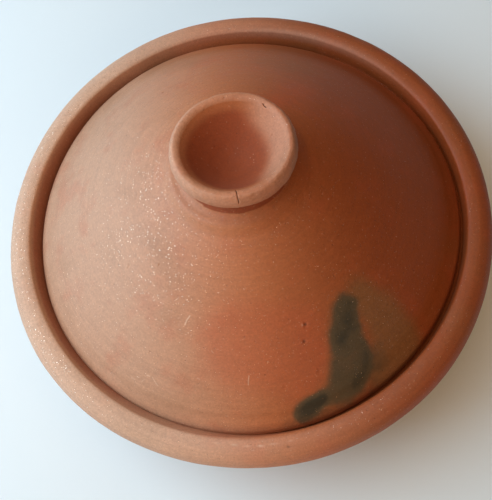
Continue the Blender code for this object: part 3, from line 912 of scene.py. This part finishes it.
def fired_earthenware(name, clay):
    """Low-fired red earthenware, thrown, smoothed with a wet hand and left unglazed. The eye sees an orange
    brown with soft clouds from the fire, fine grit, faint wiping streaks round the pot, and a dull broad gloss."""
    material, tree, shader, here = new_material(name)
    add = partial(add_node, tree)
    marks = ("smoke", "buff", "flash", "deep", "cut", "scratch", "worn")
    kept = {mark: add("ShaderNodeAttribute", attribute_name=mark).outputs["Fac"] for mark in marks}
    noise = {}
    for label, width in NOISE_WIDTHS.items():
        feeds = {"Vector": here, "Scale": 1 / width, "Detail": 3.0, "Roughness": 0.6}
        noise[label] = add("ShaderNodeTexNoise", feeds)

    # Streaks of the wet hand: quick to change up the pot and slow to change round it
    parts = add("ShaderNodeSeparateXYZ", {0: here}).outputs
    flat = add("ShaderNodeCombineXYZ", {"X": parts["X"], "Y": parts["Y"]})
    out = add("ShaderNodeVectorMath", {0: flat}, operation="LENGTH").outputs["Value"]
    heading = add("ShaderNodeVectorMath", {0: flat}, operation="NORMALIZE")
    heading = add("ShaderNodeSeparateXYZ", {0: heading}).outputs
    rise = add("ShaderNodeMath", {0: parts["Z"], 1: out}, operation="SUBTRACT")
    rise = add("ShaderNodeMath", {0: rise, 1: 1 / STREAK_WIDTH}, operation="MULTIPLY")
    wound = add("ShaderNodeCombineXYZ", {"X": heading["X"], "Y": heading["Y"], "Z": rise})
    streak = add("ShaderNodeTexNoise", {"Vector": wound, "Scale": 1.0, "Detail": 3.0})

    # Each layer of colour lies over the last, as (what tells its share, low, high, most, colour)
    pores, grains = (
        add("ShaderNodeTexVoronoi", {"Vector": here, "Scale": 1 / spacing}).outputs["Distance"]
        for spacing in (PORE_SPACING, GRAIN_SPACING)
    )
    frayed = add("ShaderNodeMath", {0: noise["blotch"], 1: 0.5}, operation="SUBTRACT")
    frayed = add("ShaderNodeMath", {0: frayed, 1: 0.7, 2: kept["smoke"]}, operation="MULTIPLY_ADD")
    towards_shaded_side = add("ShaderNodeVectorMath", {0: here, 1: TOWARDS_SHADED_SIDE}, operation="DOT_PRODUCT")
    towards_shaded_side = towards_shaded_side.outputs["Value"]
    layers = (
        # Painted sheen and painted shade: tan on the window's side, through orange brown to deep red brown away
        # from it
        (towards_shaded_side, PALE_END, WARM_END, 1.0, clay.warm),
        (towards_shaded_side, WARM_START, RED_END, 1.0, clay.body),
        (noise["patch"], 0.50, 0.72, 0.22, clay.flash),
        (noise["cloud"], 0.50, 0.72, 0.25, clay.buff),
        (kept["flash"], 0.0, 1.0, 0.40, clay.flash),
        (kept["buff"], 0.0, 1.0, 0.80, clay.buff),
        # Painted shade in the knob's cup and inside the rim
        (kept["deep"], 0.0, 1.0, 0.85, clay.deep),
        # Dust, with painted sheen and painted highlights on the rim, the wall inside it and the knob
        (kept["worn"], 0.0, 1.0, 0.55, clay.dust_and_highlight),
        (grains, 0.16, 0.04, 0.25, clay.dust_and_highlight),
        (frayed, 0.05, 0.95, 0.94, clay.smoke),
        (frayed, 0.95, 1.50, 0.90, clay.soot_and_shade),
        (pores, 0.10, 0.02, 0.30, clay.soot_and_shade),
        # Painted shade in the pits, and the dark of the cracks
        (kept["cut"], 0.15, 0.90, 0.80, clay.soot_and_shade),
        # Pale scratches and chips, and a painted highlight on the clay pushed up beside the pits
        (kept["scratch"], 0.10, 0.90, 0.80, clay.dust_and_highlight),
    )
    skin = add("ShaderNodeRGB")
    skin.outputs[0].default_value = clay.pale
    for share, low, high, most, tint in layers:
        feeds = {"Value": share, "From Min": low, "From Max": high, "To Min": 0.0, "To Max": most}
        share = add("ShaderNodeMapRange", feeds, interpolation_type="SMOOTHSTEP")
        mixed = add("ShaderNodeMix", {FACTOR: share, FIRST: skin, SECOND: tint}, data_type="RGBA")
        skin = mixed.outputs[MIXED]

    # Grit, pinches and streaks lighten and darken the colour a little
    for share, low, high in ((noise["grit"], 0.88, 1.10), (noise["pinch"], 0.94, 1.06), (streak, 0.95, 1.05)):
        feeds = {"Value": share, "From Min": 0.3, "From Max": 0.7, "To Min": low, "To Max": high}
        share = add("ShaderNodeMapRange", feeds, clamp=True)
        skin = add("ShaderNodeVectorMath", {0: skin, "Scale": share}, operation="SCALE")

    # The hand leaves some patches smoother, and the cuts, the dust and painted highlights, and the painted shade
    # are rougher
    least, most = clay.skin_roughness - SKIN_VARIES, clay.skin_roughness + SKIN_VARIES
    rough = add("ShaderNodeMapRange", {"Value": noise["pinch"], "To Min": least, "To Max": most})
    for mark in ("cut", "worn", "deep"):
        feeds = {0: kept[mark], 1: ROUGHER_MARK, 2: rough}
        rough = add("ShaderNodeMath", feeds, operation="MULTIPLY_ADD", use_clamp=True)

    # Grit, pinches and streaks stand up from the skin, and the pores sink into it
    height = add("ShaderNodeMath", {0: noise["grit"], 1: GRIT_HEIGHT}, operation="MULTIPLY")
    height = add("ShaderNodeMath", {0: noise["pinch"], 1: PINCH_HEIGHT, 2: height}, operation="MULTIPLY_ADD")
    height = add("ShaderNodeMath", {0: streak, 1: STREAK_HEIGHT, 2: height}, operation="MULTIPLY_ADD")
    pore = {"Value": pores, "From Min": 0.02, "From Max": 0.12, "To Min": -PORE_DEPTH, "To Max": 0.0}
    pore = add("ShaderNodeMapRange", pore, interpolation_type="SMOOTHSTEP")
    height = add("ShaderNodeMath", {0: height, 1: pore}, operation="ADD")
    bump = add("ShaderNodeBump", {"Strength": 1.0, "Distance": MILLIMETRE, "Height": height})
    feed(tree, shader, {
        "Base Color": skin, "Roughness": rough, "IOR": 1.52, "Specular IOR Level": 0.55, "Normal": bump,
    })
    return material


def mica(name):
    """Mica in the clay, flakes split along their flat faces: they flash like metal where they face the light,
    and are lost in the clay elsewhere. They are drawn about twice their real size, so that they show."""
    material, tree, shader, here = new_material(name)
    shade = add_node(tree, "ShaderNodeTexNoise", {"Vector": here, "Scale": 1 / 0.003})
    feeds = {FACTOR: shade, FIRST: linear("D2AE8E"), SECOND: linear("FFF3E4")}
    tint = add_node(tree, "ShaderNodeMix", feeds, data_type="RGBA").outputs[MIXED]
    feed(tree, shader, {"Base Color": tint, "Metallic": 0.9, "Roughness": 0.22})
    return material


def matt_table(name, tint):
    """Matt white table top. The eye sees a flat cool white with hardly any cloud in it."""
    material, tree, shader, here = new_material(name)
    cloud = add_node(tree, "ShaderNodeTexNoise", {"Vector": here, "Scale": 1 / 0.30, "Detail": 2.0})
    deeper = [channel * 0.95 for channel in tint[:3]] + [1.0]
    feeds = {FACTOR: cloud, FIRST: tint, SECOND: deeper}
    mixed = add_node(tree, "ShaderNodeMix", feeds, data_type="RGBA").outputs[MIXED]
    feed(tree, shader, {"Base Color": mixed, "Roughness": 0.85})
    return material


def scatter_flakes(name, on):
    """Mica flakes over a finished clay piece, as one mesh of their own."""
    clay = bpy.context.scene.tagine_clay
    return made_by(flake_tree(), name, on.data, {
        "Density": clay.mica_density,
        "Least Size": clay.mica_least,
        "Most Size": clay.mica_most,
        "Seed": clay.seed,
        "Mica": mica("Mica flakes, " + on.name),
    })


class TAGINE_OT_dish(bpy.types.Operator):
    """Throws the dish with its rolled rim, in place of the plain solid"""

    bl_idname = "tagine.dish"
    bl_label = "Throw dish"

    def execute(self, context):
        sizes, clay = context.scene.tagine_dish, context.scene.tagine_clay
        material = fired_earthenware("Unglazed earthenware, dish", clay)
        dish = thrown("clay_dish", *dish_profile(sizes), DISH_SEGMENTS, material)
        make_dish_uneven(dish.data, sizes)
        mark_dish(dish.data, sizes)
        flakes = scatter_flakes("dish_flakes", dish)
        for piece in (dish, flakes):
            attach(piece, "root")
        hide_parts("dish")
        return {"FINISHED"}


class TAGINE_OT_lid(bpy.types.Operator):
    """Throws the domed lid with its cup-shaped knob, in place of the plain solid"""

    bl_idname = "tagine.lid"
    bl_label = "Throw lid"

    def execute(self, context):
        sizes, clay = context.scene.tagine_lid, context.scene.tagine_clay
        material = fired_earthenware("Unglazed earthenware, lid", clay)
        lid = thrown("clay_lid", *lid_profile(sizes), LID_SEGMENTS, material)
        make_lid_uneven(lid.data, sizes)
        mark_lid(lid.data, sizes)
        flakes = scatter_flakes("lid_flakes", lid)
        for piece in (lid, flakes):
            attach(piece, "root")
        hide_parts("lid")
        return {"FINISHED"}


def add_camera(stage, target):
    """A camera at the photograph's angle, turned so that the rim's middle falls on its pixel."""
    away = Vector((0, -math.cos(stage.camera_elevation), math.sin(stage.camera_elevation)))
    forward, right = -away, Vector((1, 0, 0))
    level = Matrix((right, -right.cross(forward), forward))
    aside = math.atan2(RIM_MIDDLE_PIXEL[0] - FRAME_WIDTH / 2, stage.focal_pixels)
    down = math.atan2(RIM_MIDDLE_PIXEL[1] - FRAME_HEIGHT / 2, stage.focal_pixels)
    axes = Matrix.Rotation(aside, 3, "Y") @ Matrix.Rotation(-down, 3, "X")
    axes = axes @ Matrix.Rotation(stage.camera_roll, 3, "Z") @ level
    turned = Matrix((axes[0], -axes[1], -axes[2])).transposed()
    camera = bpy.data.objects.new("camera", bpy.data.cameras.new("camera"))
    camera.data.sensor_width = SENSOR_WIDTH_MM
    camera.data.lens = stage.focal_pixels / max(FRAME_WIDTH, FRAME_HEIGHT) * SENSOR_WIDTH_MM
    camera.data.clip_start = 0.01
    camera.matrix_world = Matrix.Translation(target + away * stage.camera_distance) @ turned.to_4x4()
    bpy.context.scene.collection.objects.link(camera)
    bpy.context.scene.camera = camera


def add_light(name, power, tint, size, distance, azimuth, elevation, target):
    """A broad soft light that faces the pot."""
    heading = Vector((
        math.cos(elevation) * math.cos(azimuth), math.cos(elevation) * math.sin(azimuth), math.sin(elevation)
    ))
    light = bpy.data.lights.new(name, "AREA")
    light.shape = "RECTANGLE"
    light.size, light.size_y = size
    light.energy = power
    light.color = tint[:3]
    lamp = bpy.data.objects.new(name, light)
    lamp.location = target + heading * distance
    lamp.rotation_euler = heading.to_track_quat("Z", "Y").to_euler()
    bpy.context.scene.collection.objects.link(lamp)


def add_dark_room():
    """A room with no light of its own, so that the lamps alone set the shading."""
    world = bpy.data.worlds.new("room")
    world.use_nodes = True
    world.node_tree.nodes["Background"].inputs["Strength"].default_value = 0.0
    bpy.context.scene.world = world


def add_table(stage):
    half, below_foot = 3.0, 0.0002
    mesh = bpy.data.meshes.new("table")
    corners = [(x, y, -below_foot) for x, y in ((-half, -half), (half, -half), (half, half), (-half, half))]
    mesh.from_pydata(corners, [], [(0, 1, 2, 3)])
    mesh.materials.append(matt_table("Matt white table", stage.table))
    table = bpy.data.objects.new("table", mesh)
    bpy.context.scene.collection.objects.link(table)


class TAGINE_OT_stage(bpy.types.Operator):
    """Sets the pale table, the window's and the room's light, and the camera"""

    bl_idname = "tagine.stage"
    bl_label = "Set stage"

    def execute(self, context):
        stage = context.scene.tagine_stage
        target = Vector((0, 0, context.scene.tagine_dish.rim_widest_height))
        add_camera(stage, target)
        cool, warm = stage.window_light, stage.room_tint
        window = (stage.window_width, stage.window_height)
        for name, power, tint, size, distance, azimuth, elevation in (
            ("window", stage.window_power, cool, window, stage.window_distance,
             stage.window_azimuth, stage.window_elevation),
            ("sky", stage.sky_power, cool, (1.2, 1.2), 1.3, math.radians(180), math.radians(60)),
            ("ceiling", stage.ceiling_power, warm, (1.4, 1.4), 1.4, 0.0, math.radians(89)),
            ("front", stage.front_power, warm, (1.0, 0.8), 1.3, math.radians(-100), math.radians(32)),
            ("back", stage.back_power, warm, (1.0, 0.8), 1.3, math.radians(95), math.radians(38)),
        ):
            add_light(name, power, tint, size, distance, azimuth, elevation, target)
        add_dark_room()
        add_table(stage)
        context.scene.view_settings.view_transform = "Standard"
        return {"FINISHED"}


class TAGINE_PT_panel(bpy.types.Panel):
    """Lists the tagine's pieces and their sizes"""

    bl_idname = "TAGINE_PT_panel"
    bl_label = "Tagine"
    bl_space_type = "VIEW_3D"
    bl_region_type = "UI"
    bl_category = "Tagine"

    def draw(self, context):
        scene = context.scene
        for settings, operator in (
            (scene.tagine_dish, "tagine.dish"),
            (scene.tagine_lid, "tagine.lid"),
            (scene.tagine_clay, None),
            (scene.tagine_stage, "tagine.stage"),
        ):
            box = self.layout.box()
            for name in settings.__annotations__:
                box.prop(settings, name)
            if operator:
                box.operator(operator)


GROUPS = {
    "tagine_dish": DishSizes,
    "tagine_lid": LidSizes,
    "tagine_clay": ClaySettings,
    "tagine_stage": StageSettings,
}
CLASSES = (*GROUPS.values(), TAGINE_OT_dish, TAGINE_OT_lid, TAGINE_OT_stage, TAGINE_PT_panel)


def register():
    for item in CLASSES:
        bpy.utils.register_class(item)
    for name, group in GROUPS.items():
        setattr(bpy.types.Scene, name, PointerProperty(type=group))


def unregister():
    for name in GROUPS:
        delattr(bpy.types.Scene, name)
    for item in reversed(CLASSES):
        bpy.utils.unregister_class(item)


def main():
    register()
    bpy.ops.tagine.dish()
    bpy.ops.tagine.lid()
    bpy.ops.tagine.stage()


if __name__ == "__main__":
    main()
